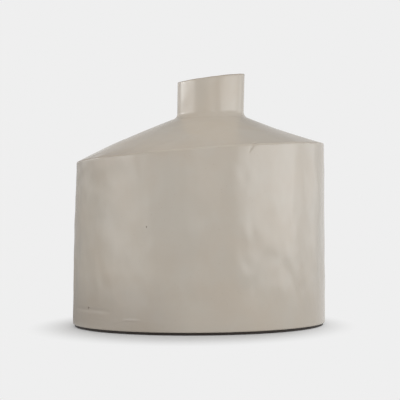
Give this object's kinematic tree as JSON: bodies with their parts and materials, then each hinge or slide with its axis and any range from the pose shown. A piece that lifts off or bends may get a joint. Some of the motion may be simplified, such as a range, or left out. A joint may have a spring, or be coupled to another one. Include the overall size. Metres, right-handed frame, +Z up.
{
  "type": "bottle vase",
  "caption": "Round slab-built stoneware bottle vase with a slanted shoulder crease and a short off-centre neck cut at an angle; holds water and flower stems.",
  "frame": {"origin": "on the ground, under the middle of the base", "axes": "+Z up; -Y is the front, as the picture shows it; the shoulder and the rim climb towards +X"},
  "size_m": [0.2512, 0.251, 0.2499],
  "materials": {
    "glaze": "satin",
    "bare_clay": "matte"
  },
  "bodies": {
    "root": {"foot_ring": "bare_clay", "base_slab": "glaze", "base_coil": "glaze", "body_wall": "glaze", "wall_seam_strip": "glaze", "shoulder_cone": "glaze", "shoulder_coil": "glaze", "shoulder_seam_strip": "glaze", "neck_collar": "glaze", "neck_coil": "glaze"}
  },
  "joints": []
}
